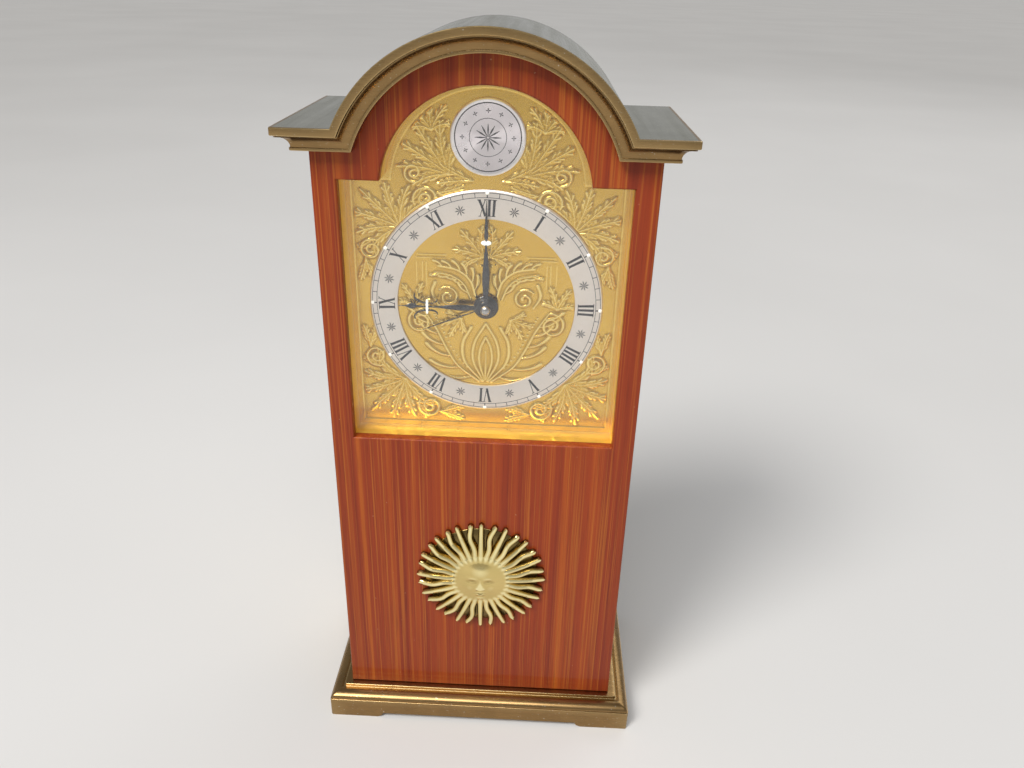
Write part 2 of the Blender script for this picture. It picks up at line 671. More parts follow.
# Mouldings: points are the reach out from the body and the drop below the moulding's top edge
def cornice_profile():
    top_reach = CORNICE_REACH - CORNICE_STEP
    cove_top = CORNICE_FASCIA
    cove_bottom = CORNICE_HEIGHT - SOFFIT_FASCIA
    points = [(CORNICE_REACH, cove_top)]
    for i in range(QUARTER_STEPS + 1):
        angle = math.radians(90.0 * i / QUARTER_STEPS)
        reach = SOFFIT_REACH + (top_reach - SOFFIT_REACH) * (1.0 - math.sin(angle))
        drop = cove_bottom - (cove_bottom - cove_top) * math.cos(angle)
        points.append((reach, drop))
    points.append((SOFFIT_REACH, CORNICE_HEIGHT))
    return points


def base_profile():
    start_reach = BASE_LEDGE + BASE_STEP
    round_drop = BASE_HEIGHT - BASE_FASCIA - BASE_STEP
    points = [(BASE_LEDGE, BASE_STEP)]
    for i in range(QUARTER_STEPS + 1):
        angle = math.radians(90.0 * i / QUARTER_STEPS)
        reach = start_reach + (BASE_REACH - BASE_FILLET - start_reach) * math.sin(angle)
        drop = BASE_STEP + round_drop * (1.0 - math.cos(angle))
        points.append((reach, drop))
    return points


def moulding_block(name, section, side, length, middle):
    # cutter with this section (reach, height), run along the front or along one side of the body
    quarter = {"front": -math.pi / 2, "left": math.pi, "right": 0.0}[side]
    start = {"front": (0.0, 0.0), "left": (-BODY_WIDTH / 2, 0.0), "right": (BODY_WIDTH / 2, 0.0)}[side]
    cutter = plate(name, section, -length / 2, length / 2)
    spin = Matrix.Rotation(quarter, 4, 'Z')
    along = middle if side != "front" else 0.0
    cutter.data.transform(Matrix.Translation((start[0], along, 0.0)) @ spin)
    return cutter


def base_plinth():
    half = BODY_WIDTH / 2 + BASE_REACH
    depth = CASE_REAR_D + BASE_REACH
    base = block("base_plinth", (-half, -BASE_REACH, 0.0), (half, CASE_REAR_D, BASE_HEIGHT))
    over = BASE_REACH
    long_run = 2 * half + 2 * over
    for side, lower in (("front", 0.0), ("left", MITRE_STEP), ("right", MITRE_STEP)):
        section = [(BASE_LEDGE, BASE_HEIGHT + over)]
        section += [(reach, BASE_HEIGHT - drop - lower) for reach, drop in base_profile()]
        section += [(BASE_REACH + over, BASE_FASCIA - lower), (BASE_REACH + over, BASE_HEIGHT + over)]
        cut(base, moulding_block("base_" + side, section, side, long_run, 0.0))
    middle = CASE_REAR_D / 2 - BASE_REACH / 2
    cut(base, foot_gap("front_gap", half - FOOT_WIDTH, FOOT_HEIGHT, depth, 0.0, middle))
    cut(base, foot_gap("side_gap", depth / 2 - FOOT_WIDTH, SIDE_FOOT_HEIGHT, 2 * half, 90.0, middle))
    finish(base, CASE_BRASS)


def foot_gap(name, half, height, through, turn, middle):
    # space between two bracket feet, with a quarter round at each end
    ends = []
    for i in range(QUARTER_STEPS + 1):
        angle = math.radians(90.0 * i / QUARTER_STEPS)
        ends.append((half - FOOT_CURVE * (1.0 - math.cos(angle)), height * math.sin(angle)))
    outline = [(-half, -height), (half, -height)] + ends
    outline += [(-x, z) for x, z in reversed(ends)]
    gap = plate(name, outline, -through, through)
    spin = Matrix.Rotation(math.radians(turn), 4, 'Z')
    gap.data.transform(Matrix.Translation((0.0, middle, 0.0)) @ spin)
    return gap


def case_shell():
    front = PANEL_THICK + SEAT_GAP
    shell = plate("case_shell", arched(), front, CASE_REAR_D, holes=[arched(-SHELL_WALL)])
    for i, (x, z) in enumerate(screw_places()):
        side = math.copysign(1.0, x)
        edge = side * (BODY_WIDTH / 2 - SHELL_WALL / 2)
        inner = side * (BODY_WIDTH / 2 - SHELL_WALL - LUG_SIZE)
        low = (min(edge, inner), COVER_D - SEAT_GAP - LUG_DEPTH, z - LUG_SIZE / 2)
        high = (max(edge, inner), COVER_D - SEAT_GAP, z + LUG_SIZE / 2)
        join(shell, block("lug_" + str(i), low, high))
        cut(shell, rod("lug_hole_" + str(i), SCREW_SHANK + PIVOT_GAP, low[1] - LUG_DEPTH, CASE_REAR_D,
                       (x, z), PIN_ROUND))
    finish(shell, CASE_BRASS)


def screw_places():
    x = BODY_WIDTH / 2 - SHELL_WALL - LUG_SIZE / 2 - SEAT_GAP
    low = BASE_HEIGHT + LUG_INSET_Z
    high = SOFFIT_Z - 2 * LUG_INSET_Z
    return [(-x, low), (x, low), (x, high), (-x, high)]


def front_panel():
    panel = plate("front_panel", arched(-SHELL_EDGE), 0.0, PANEL_THICK, holes=[opening()])
    rebate = plate("crystal_rebate", opening(CRYSTAL_LAP + SEAT_GAP), PANEL_LIP, PANEL_THICK + PANEL_LIP)
    cut(panel, rebate)
    finish(panel, WOOD)


def hood_cornice():
    half = BODY_WIDTH / 2 + CORNICE_REACH
    outline = arch_outline(half, SOFFIT_Z, CORNICE_Z, HOOD_ARCH)
    hood = plate("hood_cornice", outline, -CORNICE_REACH, CASE_REAR_D)
    cut(hood, plate("hood_cavity", arched(SEAT_GAP), -SEAT_GAP, CASE_REAR_D + CORNICE_REACH))
    over = CORNICE_REACH
    profile = [(reach, CORNICE_Z - drop) for reach, drop in cornice_profile()]
    inside = (-PANEL_LIP, SOFFIT_Z)
    section = [(CORNICE_REACH + over, CORNICE_Z - CORNICE_FASCIA)] + profile
    section += [inside, (-PANEL_LIP, SOFFIT_Z - over), (CORNICE_REACH + over, SOFFIT_Z - over)]
    side_section = [point for point in section if point != inside]
    side_section[-2] = (SOFFIT_REACH, SOFFIT_Z - over)
    run = 2 * half + 2 * over
    cut(hood, moulding_block("cornice_front", section, "front", run, 0.0))
    for side in ("left", "right"):
        cut(hood, moulding_block("cornice_" + side, side_section, side, run, CASE_REAR_D / 2))
    rim = [(HOOD_ARCH - drop, MITRE_STEP - reach) for reach, drop in cornice_profile()]
    sweep = [(0.0, -CORNICE_REACH - over), (HOOD_ARCH - CORNICE_FASCIA, -CORNICE_REACH - over)] + rim[1:]
    sweep += [(SOFFIT_ARCH, PANEL_LIP), (0.0, PANEL_LIP)]
    cut(hood, turned("cornice_arch", sweep, (0.0, ARCH_Z), 2 * ARCH_STEPS))
    finish(hood, CASE_BRASS)


def sun_mask():
    rays = []
    for i in range(SUN_RAYS):
        angle = 90.0 + 360.0 * i / SUN_RAYS
        half = 90.0 / SUN_RAYS
        rays.append(polar(SUN_ROOT, angle - 2 * half))
        rays.append(polar(SUN_RADIUS, angle - half / 2))
        rays.append(polar(SUN_RADIUS, angle + half / 2))
    sun = plate("sun_mask", rays, -SUN_SHEET, -SEAT_GAP, (0.0, SUN_Z))
    profile = [(0.0, -SUN_SHEET / 2)]
    crown = SUN_HEIGHT - SUN_SHEET / 2
    for i in range(QUARTER_STEPS):
        angle = math.radians(90.0 * i / QUARTER_STEPS)
        profile.append((SUN_FACE * math.cos(angle), -SUN_SHEET / 2 - crown * math.sin(angle)))
    profile.append((0.0, -SUN_HEIGHT))
    join(sun, turned("sun_face", profile, (0.0, SUN_Z), MEDIUM_ROUND))
    skirt = [(0.0, -SUN_SHEET / 2), (SUN_ROOT - SEAT_GAP, -SUN_SHEET / 2)]
    skirt += [(SUN_FACE, -2 * SUN_SHEET), (0.0, -2 * SUN_SHEET)]
    join(sun, turned("sun_skirt", skirt, (0.0, SUN_Z), MEDIUM_ROUND))
    finish(sun, GILT)


def sound_slot():
    end = SOUND_SLOT_HEIGHT / 2
    reach = SOUND_SLOT_WIDTH / 2 - end
    middle = BASE_HEIGHT + SOUND_SLOT_RISE
    right = arc(end, -90.0, 90.0, QUARTER_STEPS, (reach, middle))
    left = arc(end, 90.0, 270.0, QUARTER_STEPS, (-reach, middle))
    return right + left


def back_cover():
    holes = []
    for point in (BARREL, ALARM_BARREL):
        holes.append(circle(WINDING_TAIL + 2 * PIVOT_GAP, ARBOR_ROUND, on_dial(point)))
    for point in (SET, ALARM_SET):
        holes.append(circle(SET_SHAFT + 2 * PIVOT_GAP, PIN_ROUND, on_dial(point)))
    holes.append(circle(PLUNGER_RADIUS + PIVOT_GAP, PIN_ROUND, on_dial(PLUNGER)))
    for place_at in screw_places():
        holes.append(circle(SCREW_SHANK + PIVOT_GAP, PIN_ROUND, place_at))
    half_slot = REGULATOR_PIN + 2 * PIVOT_GAP
    swing = REGULATOR_SWING + math.degrees(2 * half_slot / REGULATOR_LENGTH)
    slot = arc(REGULATOR_LENGTH + half_slot, 90.0 - swing, 90.0 + swing, QUARTER_STEPS, on_dial(BALANCE))
    slot += arc(REGULATOR_LENGTH - half_slot, 90.0 + swing, 90.0 - swing, QUARTER_STEPS, on_dial(BALANCE))
    holes.append(slot)
    holes.append(sound_slot())
    inset = SHELL_WALL + SEAT_GAP
    finish(plate("back_cover", arched(-inset), COVER_D, COVER_BACK_D, holes=holes), BRASS)


def back_screws():
    for i, at in enumerate(screw_places()):
        name = "back_screw_" + str(i + 1)
        seat = COVER_BACK_D + SEAT_GAP
        head = seat + SCREW_HEAD_THICK
        profile = [(0.0, seat - SCREW_LENGTH), (SCREW_SHANK, seat - SCREW_LENGTH), (SCREW_SHANK, seat)]
        profile += [(SCREW_HEAD, seat), (SCREW_HEAD, head), (0.0, head)]
        screw = turned(name, profile, at, ARBOR_ROUND)
        low = (-2 * SCREW_HEAD, head - SCREW_SLOT, -SCREW_SLOT / 2)
        high = (2 * SCREW_HEAD, head + SCREW_SLOT, SCREW_SLOT / 2)
        cut(screw, block(name + "_slot", low, high, at))
        finish(screw, BRASS)


def dial():
    finish(plate("crystal", opening(CRYSTAL_LAP), CRYSTAL_D, CRYSTAL_D + CRYSTAL_THICK), CLEAR)
    frame = plate("dial_frame", opening(FRAME_LAP), FRAME_D, FRAME_D + FRAME_DEPTH, holes=[opening()])
    finish(frame, GILT)
    centre_hole = circle(DIAL_HOLE, MEDIUM_ROUND, on_dial(CENTRE))
    finish(plate("dial_plate", opening(FRAME_LAP), DIAL_D, DIAL_BACK_D, holes=[centre_hole]), GILT)
    ring_back = RING_D + RING_THICK
    ring = plate("chapter_ring", circle(RING_OUTER, LARGE_ROUND), RING_D, ring_back, on_dial(CENTRE),
                 [circle(RING_INNER, LARGE_ROUND)])
    finish(ring, SILVER)
    finish(rod("medallion", MEDALLION_RADIUS, RING_D, ring_back, (0.0, MEDALLION_Z), LARGE_ROUND), SILVER)
    for i, angle in enumerate(DIAL_FOOT_ANGLES):
        at = on_dial(polar(DIAL_FOOT_DISTANCE, angle))
        foot = rod("dial_foot_" + str(i + 1), DIAL_FOOT_RADIUS, DIAL_BACK_D + SEAT_GAP,
                   TRAIN_D - SEAT_GAP, at)
        finish(foot, BRASS)


# Hands
def hand(name, length, width, pipe_radius, depth, turn, sides):
    bore = pipe_radius + PIPE_GAP
    right = [(half * width, share * length) for share, half in sides]
    blade = right + [(0.0, length)] + [(-x, z) for x, z in reversed(right)]
    outline = paddle(bore + HUB_RIM, width / 2, blade, turn)
    hole = circle(bore, SMALL_ROUND)
    finish(plate(name, outline, depth, depth + HAND_THICK, on_dial(CENTRE), [hole]), BLACK)


def hands():
    hand("minute_hand", MINUTE_LENGTH, MINUTE_WIDTH, CANNON_PIPE, MINUTE_HAND_D, 0.0, MINUTE_BLADE)
    hand("hour_hand", HOUR_LENGTH, HOUR_WIDTH, HOUR_PIPE, HOUR_HAND_D, HOUR_TURN, HOUR_BLADE)
    hand("alarm_hand", ALARM_LENGTH, ALARM_WIDTH, ALARM_PIPE, ALARM_HAND_D, ALARM_TURN, ALARM_BLADE)


# Wheels
def wheel_blank(name, teeth, module, phase, front, at, holes=()):
    outline = wheel_points(teeth, module, phase)
    return plate(name, outline, front, front + WHEEL_THICK, on_dial(at), holes)


def pinion(name, teeth, module, phase, wheel_front, at, holes=(), wheel_thick=WHEEL_THICK):
    outline = pinion_points(teeth, module, phase)
    front = wheel_front - PINION_OVERLAP
    return plate(name, outline, front, wheel_front + wheel_thick + PINION_OVERLAP, on_dial(at), holes)


def pipe(name, bore, outer, front, back):
    profile = [(bore, front), (outer, front), (outer, back), (bore, back)]
    return turned(name, profile, on_dial(CENTRE), bored=True)


def motion_work():
    cannon = pipe("cannon_pinion", CANNON_BORE, CANNON_PIPE, MINUTE_HAND_D - TIP_LENGTH,
                  FRONT_PLATE_D - SEAT_GAP)
    bore = circle(CANNON_BORE + PIPE_WALL / 2, SMALL_ROUND)
    join(cannon, pinion("cannon_leaves", CANNON_TEETH, MOTION_MODULE, CANNON_PHASE, MINUTE_WHEEL_D, CENTRE,
                        [bore]))
    finish(cannon, STEEL)

    back = HOUR_WHEEL_D + WHEEL_THICK - SEAT_GAP
    hour = pipe("hour_wheel", HOUR_BORE, HOUR_PIPE, HOUR_HAND_D - SEAT_GAP, back)
    bore = circle(HOUR_BORE + PIPE_WALL / 2, SMALL_ROUND)
    join(hour, wheel_blank("hour_teeth", HOUR_TEETH, HOUR_MODULE, HOUR_PHASE, HOUR_WHEEL_D, CENTRE, [bore]))
    finish(hour, BRASS)

    back = ALARM_WHEEL_D + WHEEL_THICK - SEAT_GAP
    alarm = pipe("alarm_wheel", ALARM_BORE, ALARM_PIPE, ALARM_HAND_D - SEAT_GAP, back)
    bore = circle(ALARM_BORE + PIPE_WALL / 2, SMALL_ROUND)
    join(alarm, wheel_blank("alarm_teeth", LARGE_TEETH, ALARM_DIAL_MODULE, ALARM_DIAL_PHASE, ALARM_WHEEL_D,
                            CENTRE, [bore]))
    finish(alarm, BRASS)

    bore = STUD_RADIUS + PIVOT_GAP
    seat = circle(bore + PIPE_WALL / 2, PIN_ROUND)
    minute = wheel_blank("minute_wheel", MINUTE_TEETH, MOTION_MODULE, MINUTE_PHASE, MINUTE_WHEEL_D, MINUTE,
                         [seat])
    leaves = pinion_points(MINUTE_PINION_TEETH, HOUR_MODULE, MINUTE_PINION_PHASE)
    back = MINUTE_WHEEL_D + WHEEL_THICK + SEAT_GAP
    hole = circle(bore, PIN_ROUND)
    join(minute, plate("minute_leaves", leaves, HOUR_WHEEL_D, back, on_dial(MINUTE), [hole]))
    finish(minute, BRASS)


def arbor_profile(front, back, radius, front_pivot, back_pivot):
    # arbor between two depths, with a thinner pivot at each end that reaches into its plate
    reach = PLATE_THICK - 2 * SEAT_GAP
    profile = [(0.0, front - reach), (front_pivot, front - reach), (front_pivot, front), (radius, front)]
    profile += [(radius, back), (back_pivot, back), (back_pivot, back + reach), (0.0, back + reach)]
    return profile


def train_arbor(name, at, radius=ARBOR_RADIUS, pivot=PIVOT_RADIUS):
    front = TRAIN_D + SEAT_GAP
    back = REAR_PLATE_D - SEAT_GAP
    return turned(name, arbor_profile(front, back, radius, pivot, pivot), on_dial(at), PIN_ROUND)


def spoked_wheel(name, teeth, module, phase, front, at):
    inner_rim = teeth * module / 2 - WHEEL_TOOTH["root"] * module - WHEEL_RIM
    return wheel_blank(name, teeth, module, phase, front, at, spoke_windows(WHEEL_HUB, inner_rim))


def going_train():
    centre = spoked_wheel("centre_wheel", LARGE_TEETH, CENTRE_MODULE, CENTRE_PHASE, CENTRE_WHEEL_D, CENTRE)
    tip = MINUTE_HAND_D - 2 * TIP_LENGTH
    back = REAR_PLATE_D - SEAT_GAP
    profile = [(0.0, tip), (CENTRE_ARBOR, tip), (CENTRE_ARBOR, TRAIN_D + SEAT_GAP)]
    profile += arbor_profile(TRAIN_D + SEAT_GAP, back, CENTRE_BODY, PIVOT_RADIUS, PIVOT_RADIUS)[3:]
    join(centre, turned("centre_arbor", profile, on_dial(CENTRE), ARBOR_ROUND))
    join(centre, pinion("centre_leaves", SMALL_TEETH, BARREL_MODULE, CENTRE_PINION_PHASE, BARREL_D, CENTRE,
                        wheel_thick=DRUM_TEETH_DEPTH))
    finish(centre, BRASS)

    third = spoked_wheel("third_wheel", LARGE_TEETH, THIRD_MODULE, THIRD_PHASE, THIRD_WHEEL_D, THIRD)
    join(third, train_arbor("third_arbor", THIRD))
    join(third, pinion("third_leaves", SMALL_TEETH, CENTRE_MODULE, THIRD_PINION_PHASE, CENTRE_WHEEL_D, THIRD))
    finish(third, BRASS)

    fourth = spoked_wheel("fourth_wheel", FOURTH_TEETH, FOURTH_MODULE, FOURTH_PHASE, FOURTH_WHEEL_D, FOURTH)
    join(fourth, train_arbor("fourth_arbor", FOURTH))
    join(fourth, pinion("fourth_leaves", SMALL_TEETH, THIRD_MODULE, FOURTH_PINION_PHASE, THIRD_WHEEL_D,
                        FOURTH))
    finish(fourth, BRASS)

    teeth = saw_points(ESCAPE_TEETH, ESCAPE_RADIUS, ESCAPE_RADIUS - ESCAPE_TOOTH, ESCAPE_LEAN)
    escape = plate("escape_wheel", teeth, ESCAPE_WHEEL_D, ESCAPE_WHEEL_D + WHEEL_THICK, on_dial(ESCAPE))
    join(escape, train_arbor("escape_arbor", ESCAPE))
    join(escape, pinion("escape_leaves", SMALL_TEETH, FOURTH_MODULE, ESCAPE_PINION_PHASE, FOURTH_WHEEL_D,
                        ESCAPE))
    finish(escape, BRASS)


def barrel(name, module, phase, at):
    # toothed cup that is open at the back
    root = LARGE_TEETH * module / 2 - WHEEL_TOOTH["root"] * module
    drum = root - DRUM_TOOTH_ROOM
    bore = WINDING_ARBOR + PIVOT_GAP
    back = BARREL_D + DRUM_DEPTH
    cup = plate(name, wheel_points(LARGE_TEETH, module, phase), BARREL_D,
                BARREL_D + DRUM_TEETH_DEPTH, on_dial(at), [circle(bore, ARBOR_ROUND)])
    wall_front = BARREL_D + (DRUM_FLOOR + DRUM_TEETH_DEPTH) / 2
    join(cup, rod(name + "_wall", drum, wall_front, back, on_dial(at), MEDIUM_ROUND))
    hollow = rod(name + "_hollow", drum - DRUM_WALL, BARREL_D + DRUM_FLOOR, back + DRUM_DEPTH, on_dial(at),
                 MEDIUM_ROUND)
    cut(cup, hollow)
    finish(cup, BRASS)
    return drum


def winding_arbor(name, at):
    # arbor of a barrel, with its ratchet behind the rear plate and a tail for the key
    hole = WINDING_ARBOR
    front = TRAIN_D + SEAT_GAP
    back = REAR_PLATE_D - SEAT_GAP
    tail = CONTROL_D + KEY_SOCKET
    reach = PLATE_THICK - 2 * SEAT_GAP
    profile = [(0.0, front - reach), (WINDING_PIVOT, front - reach), (WINDING_PIVOT, front), (hole, front)]
    profile += [(hole, back), (WINDING_TAIL, back), (WINDING_TAIL, tail), (0.0, tail)]
    shaft = turned(name, profile, on_dial(at), ARBOR_ROUND)
    teeth = saw_points(RATCHET_TEETH, RATCHET_RADIUS, RATCHET_RADIUS - RATCHET_DEPTH, RATCHET_LEAN)
    join(shaft, plate(name + "_ratchet", teeth, RATCHET_D, RATCHET_D + RATCHET_THICK, on_dial(at)))
    finish(shaft, STEEL)


def click_pivot(at):
    return polar(RATCHET_RADIUS + CLICK_GAP + CLICK_WIDTH, CLICK_ANGLE, at)


def click(name, at):
    # pawl that lies beside its ratchet and turns on a stud of the rear plate
    pivot = click_pivot(at)
    blade = [(side, CLICK_LENGTH) for side in CLICK_NOSE]
    outline = paddle(CLICK_WIDTH, CLICK_WIDTH / 2, blade, CLICK_ANGLE + CLICK_LEAN)
    hole = circle(PIVOT_RADIUS + PIVOT_GAP, PIN_ROUND)
    finish(plate(name, outline, RATCHET_D, RATCHET_D + RATCHET_THICK, on_dial(pivot), [hole]), STEEL)


def spring(name, drum, at):
    outer = drum - DRUM_WALL - SPRING_ROOM
    inner = WINDING_ARBOR + SPRING_ROOM + MAINSPRING_STRIP
    coil = spiral_points(inner, outer, SPRING_TURNS, MAINSPRING_STRIP, 0.0)
    front = BARREL_D + DRUM_FLOOR + SPRING_ROOM
    finish(plate(name, coil, front, BARREL_D + DRUM_DEPTH - SPRING_ROOM, on_dial(at)), BLUED)


def power():
    drum = barrel("barrel_drum", BARREL_MODULE, BARREL_PHASE, BARREL)
    lid = plate("barrel_lid", circle(drum, MEDIUM_ROUND), LID_D, LID_D + LID_THICK, on_dial(BARREL),
                [circle(WINDING_ARBOR + PIVOT_GAP, ARBOR_ROUND)])
    finish(lid, BRASS)
    winding_arbor("barrel_arbor", BARREL)
    spring("mainspring", drum, BARREL)
    click("time_click", BARREL)
    alarm_drum = barrel("alarm_barrel", ALARM_MODULE, ALARM_BARREL_PHASE, ALARM_BARREL)
    winding_arbor("alarm_barrel_arbor", ALARM_BARREL)
    spring("alarm_spring", alarm_drum, ALARM_BARREL)
    click("alarm_click", ALARM_BARREL)


# Escapement
def pallet_lever():
    toward = direction(PALLET, ESCAPE)
    back = ESCAPE_WHEEL_D + LEVER_THICK
    anchor = [(-PALLET_HUB, PALLET_HUB), (PALLET_REACH - PALLET_HUB, PALLET_SPREAD - PALLET_WIDTH / 2)]
    anchor += [(PALLET_REACH, PALLET_SPREAD), (PALLET_REACH, PALLET_SPREAD - PALLET_WIDTH)]
    anchor += [(PALLET_HUB, PALLET_HUB)]
    anchor += [(x, -z) for x, z in reversed(anchor)]
    lever = plate("pallet_lever", turn_points(anchor, toward), ESCAPE_WHEEL_D, back, on_dial(PALLET))
    reach = BALANCE_DISTANCE - STAFF_RADIUS - FORK_GAP
    half = LEVER_WIDTH / 2
    fork = turn_points([(0.0, -half), (reach, -half), (reach, half), (0.0, half)], BALANCE_ANGLE)
    join(lever, plate("lever_fork", fork, ESCAPE_WHEEL_D + SEAT_GAP, back - SEAT_GAP, on_dial(PALLET)))
    join(lever, train_arbor("lever_arbor", PALLET))
    finish(lever, STEEL)


def balance():
    rim_inner = BALANCE_RADIUS - BALANCE_RIM
    windows = []
    for middle in (0.0, 180.0):
        half = 90.0 - math.degrees(SPOKE_WIDTH / 2 / rim_inner)
        windows.append(arc(rim_inner, middle - half, middle + half, ARBOR_ROUND))
    wheel = plate("balance_wheel", circle(BALANCE_RADIUS, 2 * SMALL_ROUND), BALANCE_D,
                  BALANCE_D + BALANCE_THICK, on_dial(BALANCE), windows)
    front = FRONT_PLATE_D + 2 * SEAT_GAP
    back = COCK_D + COCK_THICK - SEAT_GAP
    profile = [(0.0, front), (PIVOT_RADIUS, front), (PIVOT_RADIUS, TRAIN_D + SEAT_GAP)]
    profile += [(STAFF_RADIUS, TRAIN_D + SEAT_GAP), (STAFF_RADIUS, COCK_D - SEAT_GAP)]
    profile += [(PIVOT_RADIUS, COCK_D - SEAT_GAP), (PIVOT_RADIUS, back), (0.0, back)]
    join(wheel, turned("balance_staff", profile, on_dial(BALANCE), PIN_ROUND))
    finish(wheel, BRASS)

    coil = spiral_points(HAIRSPRING_INNER + HAIRSPRING_STRIP, HAIRSPRING_OUTER, SPRING_TURNS,
                         HAIRSPRING_STRIP, COCK_ANGLE)
    finish(plate("hairspring", coil, HAIRSPRING_D, HAIRSPRING_D + HAIRSPRING_DEPTH, on_dial(BALANCE)), BLUED)


def balance_cock():
    # bridge from its foot on the rear plate to the balance staff
    half = COCK_WIDTH / 2
    bar = arc(half, COCK_ANGLE + 90.0, COCK_ANGLE + 270.0, PIN_ROUND)
    bar += arc(half, COCK_ANGLE - 90.0, COCK_ANGLE + 90.0, PIN_ROUND, polar(COCK_LENGTH, COCK_ANGLE))
    hole = circle(PIVOT_RADIUS + PIVOT_GAP, PIN_ROUND)
    cock = plate("balance_cock", bar, COCK_D, COCK_D + COCK_THICK, on_dial(BALANCE))
    join(cock, rod("cock_foot", COCK_FOOT, REAR_FACE_D + SEAT_GAP, COCK_D + COCK_THICK / 2,
                   on_dial(COCK_FOOT_AT)))
    pin_at = polar(HAIRSPRING_OUTER + SEAT_GAP + STUD_PIN, COCK_ANGLE, BALANCE)
    join(cock, rod("hairspring_stud", STUD_PIN, HAIRSPRING_D, COCK_D + COCK_THICK / 2, on_dial(pin_at),
                   PIN_ROUND))
    boss_back = REGULATOR_D + REGULATOR_THICK
    join(cock, rod("cock_boss", COCK_BOSS, COCK_D + COCK_THICK / 2, boss_back, on_dial(BALANCE)))
    cut(cock, plate("cock_hole", hole, COCK_D - COCK_THICK, REGULATOR_D, on_dial(BALANCE)))
    finish(cock, BRASS)

    back = REGULATOR_D + REGULATOR_THICK
    arm_half = REGULATOR_ARM / 2
    arm = [(arm_half, REGULATOR_LENGTH + arm_half), (-arm_half, REGULATOR_LENGTH + arm_half)]
    outline = paddle(REGULATOR_RING, arm_half, arm, 0.0)
    ring_hole = circle(COCK_BOSS + PIVOT_GAP, ARBOR_ROUND)
    lever = plate("regulator_lever", outline, REGULATOR_D, back, on_dial(BALANCE), [ring_hole])
    tip = polar(REGULATOR_LENGTH, 90.0, BALANCE)
    pin = rod("regulator_tip", REGULATOR_PIN, REGULATOR_D + REGULATOR_THICK / 2, COVER_BACK_D, on_dial(tip),
              PIN_ROUND)
    join(lever, pin)
    finish(lever, STEEL)


# Alarm
def striking():
    star = plate("star_wheel", saw_points(STAR_TEETH, STAR_RADIUS, STAR_ROOT, STAR_LEAN), HAMMER_D,
                 HAMMER_D + WHEEL_THICK, on_dial(STAR))
    join(star, train_arbor("star_arbor", STAR))
    join(star, pinion("star_leaves", SMALL_TEETH, ALARM_MODULE, STAR_PINION_PHASE, BARREL_D, STAR,
                      wheel_thick=DRUM_TEETH_DEPTH))
    finish(star, BRASS)

    half = HAMMER_WIDTH / 2
    arm = turn_points([(-half, 0.0), (-half, -HAMMER_DROP), (half, -HAMMER_DROP), (half, 0.0)], HAMMER_LEAN)
    hammer = plate("hammer", arm, HAMMER_D, HAMMER_D + WHEEL_THICK, on_dial(HAMMER))
    head_front = HAMMER_D + WHEEL_THICK - HAMMER_HEAD_DEPTH
    join(hammer, rod("hammer_head", HAMMER_HEAD, head_front + SEAT_GAP, HAMMER_D + WHEEL_THICK + SEAT_GAP,
                     on_dial(HAMMER_HEAD_AT)))
    tail = HAMMER_DISTANCE - STAR_RADIUS - HAMMER_TAIL_GAP
    lift = [(0.0, -half), (tail, -half / 2), (tail, half / 2), (0.0, half)]
    lift = turn_points(lift, direction(HAMMER, STAR))
    tail_back = HAMMER_D + WHEEL_THICK - SEAT_GAP
    join(hammer, plate("hammer_tail", lift, HAMMER_D + SEAT_GAP, tail_back, on_dial(HAMMER)))
    join(hammer, train_arbor("hammer_arbor", HAMMER))
    finish(hammer, STEEL)
    head_middle = head_front + HAMMER_HEAD_DEPTH / 2
    gong = rod("gong_stud", GONG_RADIUS, head_middle - HAMMER_HEAD_DEPTH, COVER_D - SEAT_GAP, on_dial(GONG))
    finish(gong, STEEL)


# Movement frame
def pivot_places():
    thin = PIVOT_RADIUS + PIVOT_GAP
    return [(place_at, thin) for place_at in (THIRD, FOURTH, ESCAPE, PALLET, STAR, HAMMER)]


